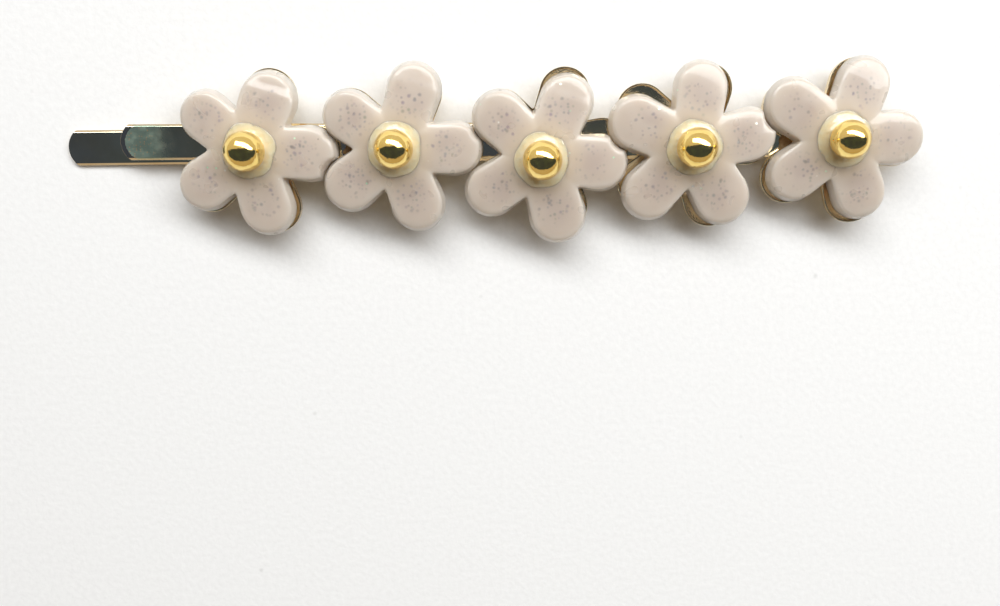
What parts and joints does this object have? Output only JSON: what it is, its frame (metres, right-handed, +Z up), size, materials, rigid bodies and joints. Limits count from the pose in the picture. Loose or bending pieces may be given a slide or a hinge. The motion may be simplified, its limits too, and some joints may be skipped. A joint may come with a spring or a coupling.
{
  "type": "flower hair clip",
  "caption": "Slim sprung hair pin of folded gold strip with a row of translucent five-petalled resin flowers, each in a gold cup with a gold bead at its centre.",
  "frame": {"origin": "on the underside of the lower leg, below the middle flower, where the clip lies on a table", "axes": "+X along the pin from its open ends towards its fold; +Z up through the flowers, away from the lower leg; +Y across the strip"},
  "size_m": [0.0893, 0.0184, 0.0087],
  "materials": {
    "strip_gold": "pale gold plate, mirror polished, on spring steel",
    "cup_gold": "pale gold plate, bright rim, grainy inside",
    "solder": "dull solder",
    "adhesive": "clear yellowish adhesive",
    "glitter_resin": "milky translucent cast resin with fine glitter",
    "clear_glue": "clear glossy glue",
    "bead_gold": "bright yellow gold, polished"
  },
  "bodies": {
    "flower_row": {"upper_leg": "strip_gold", "fold": "strip_gold", "solder_pad_1": "solder", "solder_pad_2": "solder", "solder_pad_3": "solder", "solder_pad_4": "solder", "solder_pad_5": "solder", "flower_cup_1": "cup_gold", "flower_cup_2": "cup_gold", "flower_cup_3": "cup_gold", "flower_cup_4": "cup_gold", "flower_cup_5": "cup_gold", "glue_bed_1": "adhesive", "glue_bed_2": "adhesive", "glue_bed_3": "adhesive", "glue_bed_4": "adhesive", "glue_bed_5": "adhesive", "resin_flower_1": "glitter_resin", "resin_flower_2": "glitter_resin", "resin_flower_3": "glitter_resin", "resin_flower_4": "glitter_resin", "resin_flower_5": "glitter_resin", "bead_glue_1": "clear_glue", "bead_glue_2": "clear_glue", "bead_glue_3": "clear_glue", "bead_glue_4": "clear_glue", "bead_glue_5": "clear_glue", "bead_1": "bead_gold", "bead_2": "bead_gold", "bead_3": "bead_gold", "bead_4": "bead_gold", "bead_5": "bead_gold"},
    "opening_leg": {"lower_leg": "strip_gold"}
  },
  "joints": [
    {"name": "leg_spring", "type": "hinge", "parent": "flower_row", "child": "opening_leg", "pos_m": [0.03287, 0, 0], "axis": [0, -1, 0], "range_deg": [0, 8], "stiffness_Nm_per_rad": 0.8, "springref_deg": -2.86}
  ]
}
